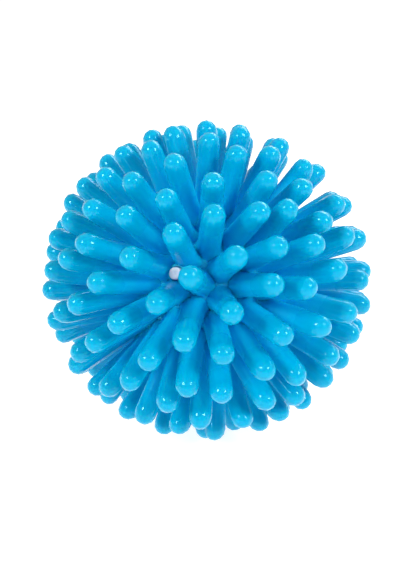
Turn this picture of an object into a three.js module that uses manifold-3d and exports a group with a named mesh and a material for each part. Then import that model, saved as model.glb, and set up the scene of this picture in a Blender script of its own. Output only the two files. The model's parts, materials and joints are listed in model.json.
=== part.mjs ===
// A soft, hollow massage ball covered in round-ended fingers.
//
// Two half shells, each moulded with its own fingers, are bonded round the middle. A short neck
// between four fingers holds the valve: a soft sleeve and the taper stopper that pulls out of it.
// Each half is modelled about its own mould axis and then leant over to the way the ball lies.
// Millimetres and degrees, +Z up, origin at the centre of the ball.

import * as THREE from "three";
import { mergeVertices } from "three/addons/utils/BufferGeometryUtils.js";
import Module from "manifold-3d";

// ---- Driving dimensions ----

// The whole ball
const ballRadius = 40; // centre of the ball to the tip of a finger
const coreRadius = 22; // outside of the hollow core
const coreWall = 2.6;

// The fingers: one on each pole, and the rest in rings round the mould axis. A ring is counted
// from the pole to the middle, and every ring begins on the same meridian.
const fingerRadius = 2.55; // at the round end
const fingerRootRadius = 2.7;
const fingerRoot = 1; // how deep a finger is rooted in the core wall
const fingersInRing = [6, 11, 15, 20, 24, 24];

// The bonded joint round the middle: a tongue on the upper half in a rebate in the lower half
const bondGap = 0.3;
const tongueWall = 1;
const tongueLength = 1.6;

// The valve
const valveRing = 3; // it stands halfway from this ring to the next
const valveTurn = 81.5; // round the mould axis from the meridian where the rings begin
const neckHeight = 3.5; // above the core
const boreRadius = 0.95; // inside the sleeve
const sleeveWall = 0.5;
const sleeveDepth = 3.5; // of the sleeve's tail inside the core
const flangeWidth = 1.5; // how far the flange inside the core stands out from the sleeve
const flangeThickness = 0.8;
const neckWall = 0.55;
const stopperHeadHeight = 1.1;
const stopperEdge = 0.3; // rounding of the stopper's head
const stopperTaper = 0.3; // how much slimmer the stopper's end is than its root
const stopperShort = 0.5; // how far the stopper ends short of the sleeve's tail

// Clearances
const fitGap = 0.15; // stopper in sleeve, and sleeve in neck
const seatGap = 0.3; // under the stopper's head, and under the sleeve's flange
const headGap = 0.15; // stopper's head to the nearest finger

// How the ball lies
const axisLean = 48; // of the mould axis, away from straight up
const axisHeading = -50; // which way it leans, from +X towards +Y
const ballTurn = -170; // of the ball round its own mould axis
const settledWidth = 1.025; // the soft ball settles under its own weight, so it lies wider
const settledHeight = 0.985; // and lower than it was moulded

// Facets
const fingerSides = 6;
const domeSteps = 2;
const shellSides = 20;
const shellSteps = 5;
const valveSides = 16;

// ---- Worked out from the sizes above ----

const ringStep = 180 / (2 * fingersInRing.length + 1);
const innerRadius = coreRadius - coreWall;
const sleeveRadius = boreRadius + sleeveWall;
const neckRadius = sleeveRadius + fitGap + neckWall;

const wasm = await Module();
wasm.setup();

// ---- Helpers ----

const radians = THREE.MathUtils.degToRad;

// A unit vector that leans from +Z by one angle and is turned from +X by the other.
function direction(lean, turn) {
  const across = Math.sin(radians(lean));
  const x = across * Math.cos(radians(turn));
  const y = across * Math.sin(radians(turn));
  return new THREE.Vector3(x, y, Math.cos(radians(lean)));
}

// Turns a shape made along +Y to stand along a direction.
function standAlong(geometry, axis) {
  const up = new THREE.Vector3(0, 1, 0);
  return geometry.applyQuaternion(new THREE.Quaternion().setFromUnitVectors(up, axis));
}

// A shape turned about +Y from [radius, height] points.
function turned(points, sides) {
  return new THREE.LatheGeometry(points.map(([r, h]) => new THREE.Vector2(r, h)), sides);
}

// The [radius, height] points of an arc round a centre on the axis, between two lean angles.
function arc(radius, centre, fromLean, toLean, steps) {
  const points = [];
  for (let i = 0; i <= steps; i++) {
    const lean = radians(THREE.MathUtils.lerp(fromLean, toLean, i / steps));
    points.push([radius * Math.sin(lean), centre + radius * Math.cos(lean)]);
  }
  return points;
}

// A round bar about +Y.
function bar(radius, bottom, top, sides) {
  return turned([[0, bottom], [radius, bottom], [radius, top], [0, top]], sides);
}

function solidOf(geometry) {
  const bare = geometry.clone();
  bare.deleteAttribute("normal");
  bare.deleteAttribute("uv");
  const merged = mergeVertices(bare, 1e-3);
  return new wasm.Manifold(
    new wasm.Mesh({
      numProp: 3,
      vertProperties: merged.attributes.position.array,
      triVerts: new Uint32Array(merged.index.array),
    }),
  );
}

function geometryOf(solid) {
  const mesh = solid.getMesh();
  const geometry = new THREE.BufferGeometry();
  geometry.setAttribute("position", new THREE.BufferAttribute(mesh.vertProperties, 3));
  geometry.setIndex(new THREE.BufferAttribute(mesh.triVerts, 1));
  geometry.computeVertexNormals();
  return geometry;
}

function namedMesh(name, geometry, material) {
  const mesh = new THREE.Mesh(geometry, material);
  mesh.name = name;
  return mesh;
}

// ---- How the ball lies ----

// The places of the two halves: from a half's own frame, its mould axis upright and the bond
// level, to the way the ball lies. A direction that is placed comes out as long as the settled
// ball is that way, compared with the round one.
const upperPlace = new THREE.Matrix4()
  .makeScale(settledWidth, settledWidth, settledHeight)
  .multiply(new THREE.Matrix4().makeRotationZ(radians(axisHeading)))
  .multiply(new THREE.Matrix4().makeRotationY(radians(axisLean)))
  .multiply(new THREE.Matrix4().makeRotationZ(radians(ballTurn)));
const lowerPlace = upperPlace.clone().multiply(new THREE.Matrix4().makeRotationX(Math.PI));

// The directions of the fingers on one half: one on the pole, then ring by ring.
function fingerDirections(place) {
  const directions = [direction(0, 0)];
  fingersInRing.forEach((count, ring) => {
    for (let i = 0; i < count; i++) {
      directions.push(direction((ring + 1) * ringStep, (360 * i) / count));
    }
  });
  return directions.map((finger) => finger.applyMatrix4(place));
}

const placedValve = direction((valveRing + 0.5) * ringStep, valveTurn).applyMatrix4(upperPlace);
const valveAxis = placedValve.clone().normalize();
const innerTop = innerRadius * placedValve.length(); // the core's inner wall under the valve
const neckTop = coreRadius * placedValve.length() + neckHeight;
const sleeveTail = innerTop - sleeveDepth;

// ---- The half shells ----

// A straight finger with a round end, a little thicker at its root in the core wall.
function finger(placed) {
  const root = (coreRadius - fingerRoot) * placed.length();
  const end = ballRadius * placed.length();
  const dome = arc(fingerRadius, end - fingerRadius, 90, 0, domeSteps);
  const section = [[0, root], [fingerRootRadius, root], ...dome];
  return standAlong(turned(section, fingerSides), placed.clone().normalize());
}

// Fingers that spread past the bond are trimmed at it, so the two halves stay apart.
function fingersOfOneHalf(place) {
  const beyond = new THREE.BoxGeometry(3 * ballRadius, 3 * ballRadius, ballRadius);
  beyond.translate(0, 0, (bondGap - ballRadius) / 2);
  const fingers = fingerDirections(place).map((placed) => solidOf(finger(placed)));
  return wasm.Manifold.union(fingers).subtract(solidOf(beyond.applyMatrix4(place)));
}

// Half of the hollow core, its rim given as the points from the inner wall to the outer one.
function bowl(innerLean, rim, place) {
  const inside = arc(innerRadius, bondGap / 2, 0, innerLean, shellSteps);
  const outside = arc(coreRadius, bondGap / 2, 90, 0, shellSteps);
  const upright = standAlong(turned([...inside, ...rim, ...outside], shellSides), direction(0, 0));
  return solidOf(upright.applyMatrix4(place));
}

// The upper half carries the tongue, the neck and the hole for the valve sleeve.
function upperShell() {
  const tongueEnd = bondGap / 2 - tongueLength;
  const tongueRadius = innerRadius + tongueWall;
  const tongue = [[innerRadius, tongueEnd], [tongueRadius, tongueEnd], [tongueRadius, bondGap / 2]];
  const neck = bar(neckRadius, coreRadius - fingerRoot, neckTop, valveSides);
  const hole = bar(sleeveRadius + fitGap, innerRadius - coreWall, ballRadius, valveSides);
  return bowl(90, tongue, upperPlace)
    .add(fingersOfOneHalf(upperPlace))
    .add(solidOf(standAlong(neck, valveAxis)))
    .subtract(solidOf(standAlong(hole, valveAxis)));
}

// The lower half has a rebate round its inner edge that the tongue goes into.
function lowerShell() {
  const rebateFloor = bondGap / 2 + tongueLength;
  const rebateRadius = innerRadius + tongueWall + bondGap;
  const rebate = [[rebateRadius, rebateFloor], [rebateRadius, bondGap / 2]];
  const innerLean = THREE.MathUtils.radToDeg(Math.acos(tongueLength / innerRadius));
  return bowl(innerLean, rebate, lowerPlace).add(fingersOfOneHalf(lowerPlace));
}

// ---- The valve ----

// The nearest finger sets how wide the stopper's head can be.
function stopperHeadRadius() {
  const angles = fingerDirections(upperPlace).map((placed) => placed.angleTo(valveAxis));
  const nearestFinger = (neckTop + seatGap) * Math.sin(Math.min(...angles));
  return nearestFinger - fingerRootRadius - headGap;
}

// A soft tube through the neck, with a flange inside the core that keeps it from being blown out.
function sleeve() {
  const flangeRadius = sleeveRadius + flangeWidth;
  const flatOfFacets = Math.cos(Math.PI / shellSides) * Math.cos(radians(45 / shellSteps));
  const flangeTop = Math.sqrt((innerTop * flatOfFacets) ** 2 - flangeRadius ** 2) - seatGap;
  const flangeBottom = flangeTop - flangeThickness;
  const section = [
    [boreRadius, sleeveTail],
    [sleeveRadius, sleeveTail],
    [sleeveRadius, flangeBottom],
    [flangeRadius, flangeBottom],
    [flangeRadius, flangeTop],
    [sleeveRadius, flangeTop],
    [sleeveRadius, neckTop],
    [boreRadius, neckTop],
    [boreRadius, sleeveTail],
  ];
  return standAlong(turned(section, valveSides), valveAxis);
}

// A taper plug with a flat-topped head that lies on the neck.
function stopper() {
  const stemRadius = boreRadius - fitGap;
  const stemEnd = sleeveTail + stopperShort;
  const headRadius = stopperHeadRadius();
  const seat = neckTop + seatGap;
  const headTop = seat + stopperHeadHeight;
  const section = [
    [0, stemEnd],
    [stemRadius - stopperTaper, stemEnd],
    [stemRadius, seat],
    [headRadius, seat],
    [headRadius, headTop - stopperEdge],
    [headRadius - stopperEdge, headTop],
    [0, headTop],
  ];
  return standAlong(turned(section, valveSides), valveAxis);
}

// ---- Assembly ----

const blueVinyl = new THREE.MeshStandardMaterial({ color: 0x0096d0, roughness: 0.25, metalness: 0 });
const sleeveVinyl = new THREE.MeshStandardMaterial({ color: 0x3aa6cf, roughness: 0.5, metalness: 0 });
const whiteStopper = new THREE.MeshStandardMaterial({ color: 0xece6e2, roughness: 0.4, metalness: 0 });

const ball = new THREE.Group();
ball.name = "massage_ball";
ball.add(
  namedMesh("upper_half_shell", geometryOf(upperShell()), blueVinyl),
  namedMesh("lower_half_shell", geometryOf(lowerShell()), blueVinyl),
  namedMesh("valve_sleeve", sleeve(), sleeveVinyl),
  namedMesh("valve_stopper", stopper(), whiteStopper),
);

export default ball;
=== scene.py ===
import json
import math

import bmesh
import bpy
from mathutils import Matrix, Vector


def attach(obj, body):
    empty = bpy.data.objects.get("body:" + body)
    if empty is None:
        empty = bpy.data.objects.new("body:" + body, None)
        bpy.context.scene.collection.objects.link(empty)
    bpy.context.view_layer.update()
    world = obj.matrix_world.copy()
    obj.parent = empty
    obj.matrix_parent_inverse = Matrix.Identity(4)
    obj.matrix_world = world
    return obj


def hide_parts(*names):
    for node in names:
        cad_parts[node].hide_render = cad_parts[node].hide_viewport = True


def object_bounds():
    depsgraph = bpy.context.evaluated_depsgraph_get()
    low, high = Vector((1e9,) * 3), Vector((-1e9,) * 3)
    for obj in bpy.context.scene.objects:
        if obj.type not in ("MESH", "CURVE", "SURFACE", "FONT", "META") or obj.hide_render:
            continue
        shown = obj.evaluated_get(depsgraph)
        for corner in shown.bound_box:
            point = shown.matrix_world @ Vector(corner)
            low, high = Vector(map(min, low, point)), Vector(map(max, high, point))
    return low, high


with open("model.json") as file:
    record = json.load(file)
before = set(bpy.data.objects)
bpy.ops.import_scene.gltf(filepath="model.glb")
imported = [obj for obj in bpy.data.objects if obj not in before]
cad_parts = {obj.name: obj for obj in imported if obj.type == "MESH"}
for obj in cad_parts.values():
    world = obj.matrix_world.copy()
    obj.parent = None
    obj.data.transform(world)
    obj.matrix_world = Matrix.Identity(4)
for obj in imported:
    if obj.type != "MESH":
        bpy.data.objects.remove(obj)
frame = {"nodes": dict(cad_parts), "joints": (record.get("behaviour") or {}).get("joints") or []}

# A soft vinyl massage ball: two half shells moulded with their fingers, a valve sleeve bonded into
# a neck between four fingers, and the stopper that pulls out of it.

MM = 0.001
CAD_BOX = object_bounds()

# ---- Sizes, in millimetres, as the moulder states them ----

BALL_RADIUS = 40.0  # as moulded, from the centre to the end of a finger
CORE_RADIUS = 22.0
CORE_WALL = 2.6
SETTLED = Vector((1.025, 1.025, 0.985))  # the soft ball lies a little wider and lower than moulded
END_RADIUS = 2.55  # of a finger's round end
ROOT_RADIUS = 2.7
ROOT_DEPTH = 0.8  # how far a finger's foot is sunk below the core's surface
FOOT_RADIUS = 3.5  # where the fillet at the foot runs out under the core's surface
BEND = 1.7  # how far a finger's end has been pushed over in use, at most, each way
SEAM_GAP = 0.05
TONGUE_WALL = 1.0
TONGUE_LENGTH = 1.6
NECK_RADIUS = 2.15
BORE_RADIUS = 0.95
SLEEVE_RADIUS = 1.45
GLUE_GAP = 0.15
HEAD_EDGE = 0.32
STEM_ROOT = 0.8
STEM_TIP = 0.5

INNER_RADIUS = CORE_RADIUS - CORE_WALL
SHELL_SIDES = 96
SHELL_STEPS = 24
VALVE_SIDES = 48


# ---- What the frame says ----

VALVE_AXIS = Vector(frame["joints"][0]["axis"]).normalized()


def as_moulded(point):
    """Where a point of the settled ball was when the ball left its moulds."""
    return Vector(p / s for p, s in zip(point, SETTLED))


def finger_ends(node):
    """The end of each finger of a half shell: the points that were moulded farthest out."""
    points = [v.co for v in frame["nodes"][node].data.vertices]
    reach = max(as_moulded(p).length for p in points)
    ends = {tuple(round(c, 6) for c in p) for p in points if as_moulded(p).length > 0.9995 * reach}
    return [Vector(p) for p in sorted(ends)]


def valve_outline(node):
    """The (radius, height) of every point of a valve piece about the valve's axis, in mm."""
    outline = []
    for v in frame["nodes"][node].data.vertices:
        height = v.co.dot(VALVE_AXIS)
        outline.append(((v.co - VALVE_AXIS * height).length / MM, height / MM))
    return outline


UPPER_ENDS = finger_ends("upper_half_shell")
LOWER_ENDS = finger_ends("lower_half_shell")
MOULD_AXIS = sum((as_moulded(p) for p in UPPER_ENDS), Vector()).normalized()
SLEEVE_OUTLINE = valve_outline("valve_sleeve")
STOPPER_OUTLINE = valve_outline("valve_stopper")
NECK_TOP = max(height for radius, height in SLEEVE_OUTLINE)


# ---- Colour ----

def linear(hex_colour):
    """An sRGB hex colour as the linear values that the shaders take."""
    channels = [int(hex_colour[i:i + 2], 16) / 255 for i in (1, 3, 5)]
    return (*(c / 12.92 if c <= 0.04045 else ((c + 0.055) / 1.055) ** 2.4 for c in channels), 1.0)


# ---- Nodes ----

BOOLEAN = "GeometryNodeMeshBoolean"
BUMP = "ShaderNodeBump"
MAP_RANGE = "ShaderNodeMapRange"
MATHS = "ShaderNodeMath"
MIX = "ShaderNodeMix"
NOISE = "ShaderNodeTexNoise"
OUTPUT = "ShaderNodeOutputMaterial"
SHADE = "GeometryNodeSetShadeSmooth"
SHADER = "ShaderNodeBsdfPrincipled"
VECTORS = "ShaderNodeVectorMath"


def add(tree, kind, *values, **named):
    """Adds a node. Plain values fill its inputs in order. A name in lower case is one of its
    settings, and any other is an input, with _ for a space. A node that is given as a value means
    its first output, and a list links all its items to one input."""
    node = tree.nodes.new(kind)
    for name, value in named.items():
        if name.islower():
            setattr(node, name, value)
    inputs = [socket for socket in node.inputs if socket.enabled]
    by_name = {socket.name.replace(" ", "_"): socket for socket in reversed(inputs)}
    given = list(zip(inputs, values))
    given += [(by_name[name], value) for name, value in named.items() if not name.islower()]
    for socket, value in given:
        for item in value if isinstance(value, list) else [value]:
            if isinstance(item, bpy.types.Node):
                item = next(output for output in item.outputs if output.enabled)
            if isinstance(item, bpy.types.NodeSocket):
                tree.links.new(item, socket)
            else:
                socket.default_value = item
    return node


# ---- Materials ----

def new_material(name):
    """A material with no nodes yet but the one that says where on the object a point is."""
    material = bpy.data.materials.new(name)
    material.use_nodes = True
    tree = material.node_tree
    tree.nodes.clear()
    return material, tree, add(tree, "ShaderNodeTexCoord").outputs["Object"]


def patches(size_mm):
    """The scale of a noise whose patches are about this many millimetres across."""
    return 1 / (size_mm * MM)


def blue_plastisol():
    """Plasticised PVC cast against a polished mould. Light travels a few millimetres in it, so it
    looks soft and clear blue. The round ends keep the mould's gloss, and the shafts, which rub on
    each other, have gone satin."""
    material, tree, place = new_material("blue_pvc_plastisol")
    from_middle = add(tree, VECTORS, place, operation="LENGTH")
    reach = add(tree, MAP_RANGE, from_middle, CORE_RADIUS * MM, BALL_RADIUS * MM)
    cloud = add(tree, NOISE, place, Scale=patches(9.0))
    cloud = add(tree, MAP_RANGE, cloud, 0.3, 0.7, -0.06, 0.06)
    # Painted light: the roots, down between the fingers where shade falls, are coloured lighter and
    # bluer than the ends, standing in for the light that bounces in the crevices; the noise adds
    # random tone.
    pit_light_and_tone = add(tree, MATHS, reach, cloud, operation="ADD", use_clamp=True)
    colour = add(tree, MIX, pit_light_and_tone, linear("#00C0F0"), linear("#00A4C6"), data_type="RGBA")
    gloss = add(tree, MAP_RANGE, reach, 0.5, 0.78, 0.42, 0.1)
    handled = add(tree, NOISE, place, Scale=patches(3.5), Detail=4.0)
    handled = add(tree, MAP_RANGE, handled, 0.35, 0.7, -0.02, 0.03)
    gloss = add(tree, MATHS, gloss, handled, operation="ADD")
    peel = add(tree, NOISE, place, Scale=patches(1.4), Detail=1.0)
    bump = add(tree, BUMP, Strength=0.06, Distance=0.05 * MM, Height=peel)
    shader = add(tree, SHADER, Base_Color=colour, Roughness=gloss, Normal=bump, IOR=1.45,
                 Specular_Tint=linear("#A0E4FF"), Subsurface_Weight=0.8,
                 Subsurface_Scale=4.0 * MM, Subsurface_Radius=(0.12, 0.7, 1.0))
    add(tree, OUTPUT, shader)
    return material


def sleeve_vinyl():
    """Softer, unpolished PVC of the bonded valve sleeve: paler and satin."""
    material, tree, place = new_material("soft_pvc_sleeve")
    cloud = add(tree, NOISE, place, Scale=patches(1.2), Detail=3.0)
    colour = add(tree, MIX, cloud, linear("#2F93C2"), linear("#5CB7DC"), data_type="RGBA")
    grain = add(tree, NOISE, place, Scale=patches(0.25), Detail=3.0)
    satin = add(tree, MAP_RANGE, grain, 0.3, 0.7, 0.42, 0.58)
    bump = add(tree, BUMP, Strength=0.2, Distance=0.03 * MM, Height=grain)
    shader = add(tree, SHADER, Base_Color=colour, Roughness=satin, Normal=bump, IOR=1.52)
    add(tree, OUTPUT, shader)
    return material


def stopper_polythene():
    """Natural LDPE, injection moulded: milky and waxy."""
    material, tree, place = new_material("natural_ldpe_stopper")
    cloud = add(tree, NOISE, place, Scale=patches(1.0), Detail=3.0)
    # Painted shade: the colour is set greyer and bluer than milky polythene, standing in for the
    # shade and blue bounce light between the fingers where the stopper sits; the noise adds random
    # tone.
    colour = add(tree, MIX, cloud, linear("#BFC8D6"), linear("#D8DEE8"), data_type="RGBA")
    wax = add(tree, NOISE, place, Scale=patches(0.4), Detail=4.0)
    gloss = add(tree, MAP_RANGE, wax, 0.3, 0.7, 0.32, 0.46)
    bump = add(tree, BUMP, Strength=0.15, Distance=0.02 * MM, Height=wax)
    shader = add(tree, SHADER, Base_Color=colour, Roughness=gloss, Normal=bump, IOR=1.51,
                 Subsurface_Weight=0.3, Subsurface_Scale=0.8 * MM)
    add(tree, OUTPUT, shader)
    return material


def light_table():
    """White acrylic of a studio table that is lit from below as well as from above."""
    material, tree, place = new_material("lit_white_acrylic")
    cloud = add(tree, NOISE, place, Scale=patches(4.0), Detail=5.0)
    colour = add(tree, MIX, cloud, linear("#BCBCBC"), linear("#C0C0C0"), data_type="RGBA")
    white = linear("#FFFFFF")
    shader = add(tree, SHADER, Base_Color=colour, Roughness=0.9, Emission_Color=white,
                 Emission_Strength=0.82)
    add(tree, OUTPUT, shader)
    return material


# ---- Turned shapes ----

def arc(radius, centre, from_lean, to_lean, steps):
    """The (radius, height) points of an arc round a centre on the axis, leans in degrees."""
    leans = [math.radians(from_lean + (to_lean - from_lean) * i / steps) for i in range(steps + 1)]
    return [(radius * math.sin(a), centre + radius * math.cos(a)) for a in leans]


def edge_round(corner_radius, corner_height, size, steps=4):
    """A rounded outer upper corner, from its side up to its top."""
    turns = [math.pi / 2 * i / steps for i in range(steps + 1)]
    middle = (corner_radius - size, corner_height - size)
    return [(middle[0] + size * math.cos(a), middle[1] + size * math.sin(a)) for a in turns]


def turned(name, section, axis, sides, closed_loop=False):
    """A solid turned about an axis through the centre, from (radius, height) points in mm."""
    shape = bmesh.new()
    rings = []
    for radius, height in section:
        if radius < 1e-6:
            rings.append([shape.verts.new((0, 0, height * MM))])
            continue
        turns = [2 * math.pi * i / sides for i in range(sides)]
        rings.append([
            shape.verts.new((radius * MM * math.cos(a), radius * MM * math.sin(a), height * MM))
            for a in turns
        ])
    pairs = list(zip(rings, rings[1:]))
    if closed_loop:
        pairs.append((rings[-1], rings[0]))
    for low, high in pairs:
        for i in range(sides):
            j = (i + 1) % sides
            corners = [low[i % len(low)], low[j % len(low)], high[j % len(high)], high[i % len(high)]]
            shape.faces.new(list(dict.fromkeys(corners)))
    bmesh.ops.recalc_face_normals(shape, faces=shape.faces)
    if shape.calc_volume(signed=True) < 0:
        bmesh.ops.reverse_faces(shape, faces=shape.faces)
    shape.transform(Vector((0, 0, 1)).rotation_difference(axis).to_matrix().to_4x4())
    mesh = bpy.data.meshes.new(name)
    shape.to_mesh(mesh)
    shape.free()
    return new_object(name, mesh)


def new_object(name, mesh):
    made = bpy.data.objects.new(name, mesh)
    bpy.context.scene.collection.objects.link(made)
    return made


def smooth_by_angle(piece, degrees=40):
    """Rounds the shading everywhere but on edges sharper than this."""
    shape = bmesh.new()
    shape.from_mesh(piece.data)
    for face in shape.faces:
        face.smooth = True
    for edge in shape.edges:
        edge.smooth = edge.calc_face_angle(0) < math.radians(degrees)
    shape.to_mesh(piece.data)
    shape.free()


# ---- The half shells ----

def bowl(name, axis, tongue):
    """Half of the hollow core about its own axis, with the tongue or the rebate on its rim."""
    rim = SEAM_GAP / 2
    outside = arc(CORE_RADIUS, rim, 90, 0, SHELL_STEPS)
    if tongue:
        end = rim - TONGUE_LENGTH
        side = INNER_RADIUS + TONGUE_WALL
        inside = arc(INNER_RADIUS, rim, 0, 90, SHELL_STEPS)
        lip = [(INNER_RADIUS, end), (side, end), (side, rim)]
    else:
        floor = rim + TONGUE_LENGTH
        side = INNER_RADIUS + TONGUE_WALL + SEAM_GAP
        last = math.degrees(math.acos(TONGUE_LENGTH / INNER_RADIUS))
        inside = arc(INNER_RADIUS, rim, 0, last, SHELL_STEPS)
        lip = [(side, floor), (side, rim)]
    piece = turned(name, inside + lip + outside, axis, SHELL_SIDES)
    piece.data.transform(Matrix.Diagonal((*SETTLED, 1)))
    return piece


def finger_tree():
    """Geometry nodes that stand a finger on every point, lean the fingers over a little and join
    them with the core."""
    tree = bpy.data.node_groups.new("moulded_fingers", "GeometryNodeTree")
    sockets = {
        "Geometry": "NodeSocketGeometry",
        "End Radius": "NodeSocketFloat",
        "Root Radius": "NodeSocketFloat",
        "Foot Radius": "NodeSocketFloat",
        "Foot Depth": "NodeSocketFloat",
        "Ball Radius": "NodeSocketFloat",
        "Core Radius": "NodeSocketFloat",
        "Bend": "NodeSocketFloat",
        "Seed": "NodeSocketInt",
        "Core": "NodeSocketObject",
        "Bore": "NodeSocketObject",
        "Material": "NodeSocketMaterial",
    }
    for name, kind in sockets.items():
        tree.interface.new_socket(name, in_out="INPUT", socket_type=kind)
    tree.interface.new_socket("Geometry", in_out="OUTPUT", socket_type="NodeSocketGeometry")
    given = add(tree, "NodeGroupInput").outputs
    place = add(tree, "GeometryNodeInputPosition")
    from_middle = add(tree, VECTORS, place, operation="LENGTH")

    vector = {"data_type": "FLOAT_VECTOR"}
    heading = add(tree, VECTORS, place, operation="NORMALIZE")
    push = add(tree, "FunctionNodeRandomValue", (-1.0,) * 3, (1.0,) * 3, Seed=given["Seed"], **vector)
    ends = given["Geometry"]
    for name, value in (("push", push), ("heading", heading)):
        ends = add(tree, "GeometryNodeStoreNamedAttribute", Geometry=ends, Name=name, Value=value,
                   domain="POINT", **vector)
    stretch = add(tree, MATHS, from_middle, given["Ball Radius"], operation="DIVIDE")
    stand = add(tree, "FunctionNodeAlignRotationToVector", Vector=heading, axis="Z")
    fingers = add(tree, "GeometryNodeInstanceOnPoints", Points=ends, Instance=one_finger(tree, given),
                  Rotation=stand, Scale=stretch)
    fingers = add(tree, "GeometryNodeRealizeInstances", fingers)

    push = add(tree, "GeometryNodeInputNamedAttribute", "push", **vector)
    heading = add(tree, "GeometryNodeInputNamedAttribute", "heading", **vector)
    along = add(tree, VECTORS, push, heading, operation="DOT_PRODUCT")
    along = add(tree, VECTORS, heading, Scale=along, operation="SCALE")
    sideways = add(tree, VECTORS, push, along, operation="SUBTRACT")
    height = add(tree, MAP_RANGE, from_middle, given["Core Radius"], given["Ball Radius"])
    lean = add(tree, MATHS, height, 1.6, operation="POWER")
    lean = add(tree, MATHS, lean, given["Bend"], operation="MULTIPLY")
    lean = add(tree, VECTORS, sideways, Scale=lean, operation="SCALE")
    fingers = add(tree, "GeometryNodeSetPosition", fingers, Offset=lean)

    core = add(tree, "GeometryNodeObjectInfo", given["Core"]).outputs["Geometry"]
    bore = add(tree, "GeometryNodeObjectInfo", given["Bore"]).outputs["Geometry"]
    whole = add(tree, BOOLEAN, [core, fingers], operation="UNION", solver="MANIFOLD")
    bored = add(tree, BOOLEAN, whole, bore, operation="DIFFERENCE", solver="MANIFOLD")
    rounded = add(tree, SHADE, bored)
    fold = add(tree, "GeometryNodeInputMeshEdgeAngle").outputs["Unsigned Angle"]
    sharp = add(tree, "FunctionNodeCompare", fold, math.radians(36), operation="GREATER_THAN")
    rounded = add(tree, SHADE, rounded, sharp, False, domain="EDGE")
    real = add(tree, "GeometryNodeRealizeInstances", rounded)
    dressed = add(tree, "GeometryNodeSetMaterial", real, Material=given["Material"])
    add(tree, "NodeGroupOutput", dressed)
    return tree


def one_finger(tree, given):
    """A finger made from a small ball, its end at the origin and the rest below. The ball's upper
    rings make the round end. The lower ones are drawn down: one close under the round end, one
    where the fillet begins, and one where the fillet runs out, under the core's surface."""
    end_rings = 3
    rings = end_rings + 4
    ball = add(tree, "GeometryNodeMeshUVSphere", Segments=12, Rings=rings, Radius=1.0)
    place = add(tree, "GeometryNodeInputPosition")
    across = add(tree, VECTORS, place, (1.0, 1.0, 0.0), operation="MULTIPLY")
    across = add(tree, VECTORS, across, operation="NORMALIZE")
    height = add(tree, "ShaderNodeSeparateXYZ", place).outputs["Z"]
    from_top = add(tree, MATHS, height, operation="ARCCOSINE")
    from_top = add(tree, MATHS, from_top, rings / math.pi, operation="MULTIPLY")
    ring = add(tree, MATHS, from_top, operation="ROUND")

    lean = add(tree, MATHS, ring, math.pi / 2 / end_rings, operation="MULTIPLY")
    lean = add(tree, MATHS, lean, math.pi / 2, operation="MINIMUM")
    end_side = add(tree, MATHS, lean, operation="SINE")
    end_side = add(tree, MATHS, end_side, given["End Radius"], operation="MULTIPLY")
    end_drop = add(tree, MATHS, 1.0, add(tree, MATHS, lean, operation="COSINE"), operation="SUBTRACT")
    end_drop = add(tree, MATHS, end_drop, given["End Radius"], operation="MULTIPLY")

    under, fillet_start = end_rings + 1.0, end_rings + 2.0
    shaft = add(tree, MAP_RANGE, ring, under, fillet_start, 0.03, 0.85, clamp=False)
    shaft = add(tree, "ShaderNodeClamp", shaft)
    fillet = add(tree, MAP_RANGE, ring, fillet_start, fillet_start + 1)
    foot = add(tree, MATHS, given["Ball Radius"], given["Core Radius"], operation="SUBTRACT")
    foot = add(tree, MATHS, foot, given["End Radius"], operation="SUBTRACT")
    foot = add(tree, MATHS, foot, given["Foot Depth"], operation="ADD")
    drop = add(tree, MATHS, shaft, foot, end_drop, operation="MULTIPLY_ADD")
    taper = add(tree, MATHS, given["Root Radius"], given["End Radius"], operation="SUBTRACT")
    side = add(tree, MATHS, shaft, taper, end_side, operation="MULTIPLY_ADD")
    spread = add(tree, MATHS, given["Foot Radius"], given["Root Radius"], operation="SUBTRACT")
    side = add(tree, MATHS, fillet, spread, side, operation="MULTIPLY_ADD")
    side = add(tree, VECTORS, across, Scale=side, operation="SCALE")
    down = add(tree, "ShaderNodeCombineXYZ", Z=add(tree, MATHS, drop, -1.0, operation="MULTIPLY"))
    shape = add(tree, VECTORS, side, down, operation="ADD")
    return add(tree, "GeometryNodeSetPosition", ball, Position=shape)


def half_shell(name, tree, ends, core, bore, seed, material):
    """Runs the finger nodes on the ends of one half's fingers and keeps the result as a mesh."""
    points = bpy.data.meshes.new(name + "_ends")
    points.from_pydata(ends, [], [])
    carrier = new_object(name + "_carrier", points)
    modifier = carrier.modifiers.new("fingers", "NODES")
    modifier.node_group = tree
    values = {
        "End Radius": END_RADIUS * MM,
        "Root Radius": ROOT_RADIUS * MM,
        "Foot Radius": FOOT_RADIUS * MM,
        "Foot Depth": ROOT_DEPTH * MM,
        "Ball Radius": BALL_RADIUS * MM,
        "Core Radius": CORE_RADIUS * MM,
        "Bend": BEND * MM,
        "Seed": seed,
        "Core": core,
        "Bore": bore,
        "Material": material,
    }
    for item in tree.interface.items_tree:
        if item.in_out == "INPUT" and item.name in values:
            modifier[item.identifier] = values[item.name]
    depsgraph = bpy.context.evaluated_depsgraph_get()
    mesh = bpy.data.meshes.new_from_object(carrier.evaluated_get(depsgraph))
    mesh.name = name
    bpy.data.objects.remove(carrier)
    return new_object(name, mesh)


def remove(*objects):
    for made in objects:
        bpy.data.objects.remove(made)


def joined(first, second):
    """Joins a second closed mesh to the first."""
    modifier = first.modifiers.new("join", "BOOLEAN")
    modifier.operation = "UNION"
    modifier.solver = "MANIFOLD"
    modifier.object = second
    depsgraph = bpy.context.evaluated_depsgraph_get()
    mesh = bpy.data.meshes.new_from_object(first.evaluated_get(depsgraph))
    name = first.name
    remove(first, second)
    made = new_object(name, mesh)
    return made


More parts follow.
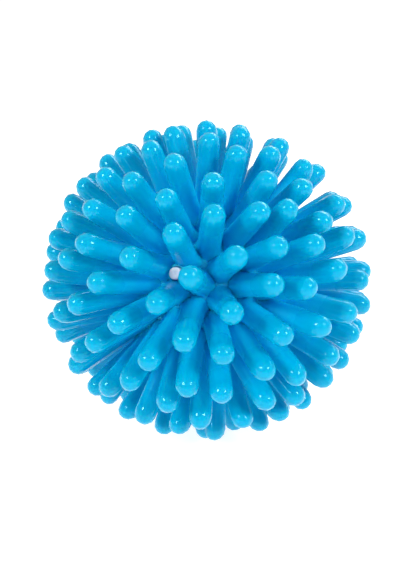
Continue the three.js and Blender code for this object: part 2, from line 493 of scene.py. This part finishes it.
def make_half_shells():
    tree = finger_tree()
    vinyl = blue_plastisol()
    neck_section = [(0, CORE_RADIUS - ROOT_DEPTH), (NECK_RADIUS, CORE_RADIUS - ROOT_DEPTH)]
    neck_section += edge_round(NECK_RADIUS, NECK_TOP, 0.25) + [(0, NECK_TOP)]
    bore_radius = SLEEVE_RADIUS + GLUE_GAP
    bore_section = [(0, INNER_RADIUS - CORE_WALL), (bore_radius, INNER_RADIUS - CORE_WALL)]
    bore_section += [(bore_radius, NECK_TOP + CORE_WALL), (0, NECK_TOP + CORE_WALL)]
    bore = turned("valve_bore", bore_section, VALVE_AXIS, VALVE_SIDES)
    upper_core = bowl("upper_core", MOULD_AXIS, tongue=True)
    upper_core = joined(upper_core, turned("valve_neck", neck_section, VALVE_AXIS, VALVE_SIDES))
    lower_core = bowl("lower_core", -MOULD_AXIS, tongue=False)
    halves = (
        ("upper_half", "upper_half_shell", UPPER_ENDS, upper_core, 4650),
        ("lower_half", "lower_half_shell", LOWER_ENDS, lower_core, 23189),
    )
    for name, node, ends, core, seed in halves:
        piece = half_shell(name, tree, ends, core, bore, seed, vinyl)
        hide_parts(node)
        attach(piece, "ball")
    remove(bore, upper_core, lower_core)


# ---- The valve ----

def make_sleeve():
    tail = min(height for radius, height in SLEEVE_OUTLINE)
    width = max(radius for radius, height in SLEEVE_OUTLINE)
    flange = [height for radius, height in SLEEVE_OUTLINE if radius > width - 0.1]
    section = [(BORE_RADIUS, tail), (SLEEVE_RADIUS - 0.15, tail)]
    section += [(SLEEVE_RADIUS, tail + 0.3), (SLEEVE_RADIUS, min(flange))]
    section += [(width - 0.1, min(flange))] + edge_round(width, max(flange), 0.2)
    section += [(SLEEVE_RADIUS, max(flange))]
    section += edge_round(SLEEVE_RADIUS, NECK_TOP, 0.12) + [(BORE_RADIUS, NECK_TOP)]
    piece = turned("bonded_sleeve", section, VALVE_AXIS, VALVE_SIDES, closed_loop=True)
    finish_piece(piece, "valve_sleeve", "ball", sleeve_vinyl())


def make_stopper():
    stem_end = min(height for radius, height in STOPPER_OUTLINE)
    top = max(height for radius, height in STOPPER_OUTLINE)
    width = max(radius for radius, height in STOPPER_OUTLINE)
    seat = min(height for radius, height in STOPPER_OUTLINE if radius > width - 0.1)
    gate = 0.35  # radius of the dimple that the mould's gate left in the head
    section = [(0, stem_end), (STEM_TIP - 0.12, stem_end), (STEM_TIP, stem_end + 0.2)]
    section += [(STEM_ROOT, seat), (width - 0.12, seat), (width, seat + 0.12)]
    section += edge_round(width, top, HEAD_EDGE, 6)
    section += [(gate + 0.12, top), (gate, top - 0.05), (gate - 0.12, top - 0.1), (0, top - 0.1)]
    piece = turned("taper_stopper", section, VALVE_AXIS, VALVE_SIDES)
    finish_piece(piece, "valve_stopper", "stopper", stopper_polythene())


def finish_piece(piece, node, body, material):
    piece.data.materials.append(material)
    smooth_by_angle(piece)
    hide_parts(node)
    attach(piece, body)


# ---- Studio ----

def aim(piece, target):
    piece.rotation_mode = "QUATERNION"
    piece.rotation_quaternion = (target - piece.location).to_track_quat("-Z", "Y")


def from_centre(azimuth, elevation, distance):
    """A place round the ball. Azimuth 0 is in front, at -Y, and 90 is at +X. Distance in mm."""
    turn = math.radians(azimuth)
    rise = math.radians(elevation)
    flat = distance * MM * math.cos(rise)
    return Vector((flat * math.sin(turn), -flat * math.cos(turn), distance * MM * math.sin(rise)))


def make_camera():
    data = bpy.data.cameras.new("camera")
    data.lens = 46.5
    data.clip_start = 10 * MM
    camera = bpy.data.objects.new("camera", data)
    bpy.context.scene.collection.objects.link(camera)
    camera.location = from_centre(0.5, 22.4, 188.5)
    aim(camera, Vector((0, 0, -2.28 * MM)))
    bpy.context.scene.camera = camera


def area_light(name, place, width_mm, height_mm, brightness):
    """An oval lamp that faces the ball, as bright as this many times the white of the picture."""
    data = bpy.data.lights.new(name, "AREA")
    data.shape = "ELLIPSE"
    data.size = width_mm * MM
    data.size_y = height_mm * MM
    data.energy = brightness * math.pi * math.pi * data.size * data.size_y / 4
    light = bpy.data.objects.new(name, data)
    bpy.context.scene.collection.objects.link(light)
    light.location = place
    aim(light, Vector())


def make_surroundings():
    """A white studio behind the ball, and a dim one on the camera's side."""
    world = bpy.data.worlds.new("studio")
    world.use_nodes = True
    tree = world.node_tree
    tree.nodes.clear()
    way = add(tree, "ShaderNodeTexCoord").outputs["Generated"]
    back = add(tree, "ShaderNodeSeparateXYZ", way).outputs["Y"]
    strength = add(tree, MAP_RANGE, back, -0.6, 0.4, 0.33, 0.5)
    walls = add(tree, "ShaderNodeBackground", linear("#FFFFFF"), strength)
    add(tree, "ShaderNodeOutputWorld", walls)
    bpy.context.scene.world = world


def make_studio():
    bpy.ops.mesh.primitive_plane_add(size=60, location=(0, 0, CAD_BOX[0].z))
    table = bpy.context.object
    table.name = "table"
    table.data.materials.append(light_table())
    area_light("left_lamp", from_centre(-45, 35, 600), 180, 180, 24)
    area_light("right_lamp", from_centre(45, 35, 600), 180, 180, 24)
    area_light("overhead", from_centre(140, 41, 800), 1000, 280, 5)
    make_surroundings()
    bpy.context.scene.view_settings.view_transform = "Standard"


make_camera()
make_half_shells()
make_sleeve()
make_stopper()
make_studio()
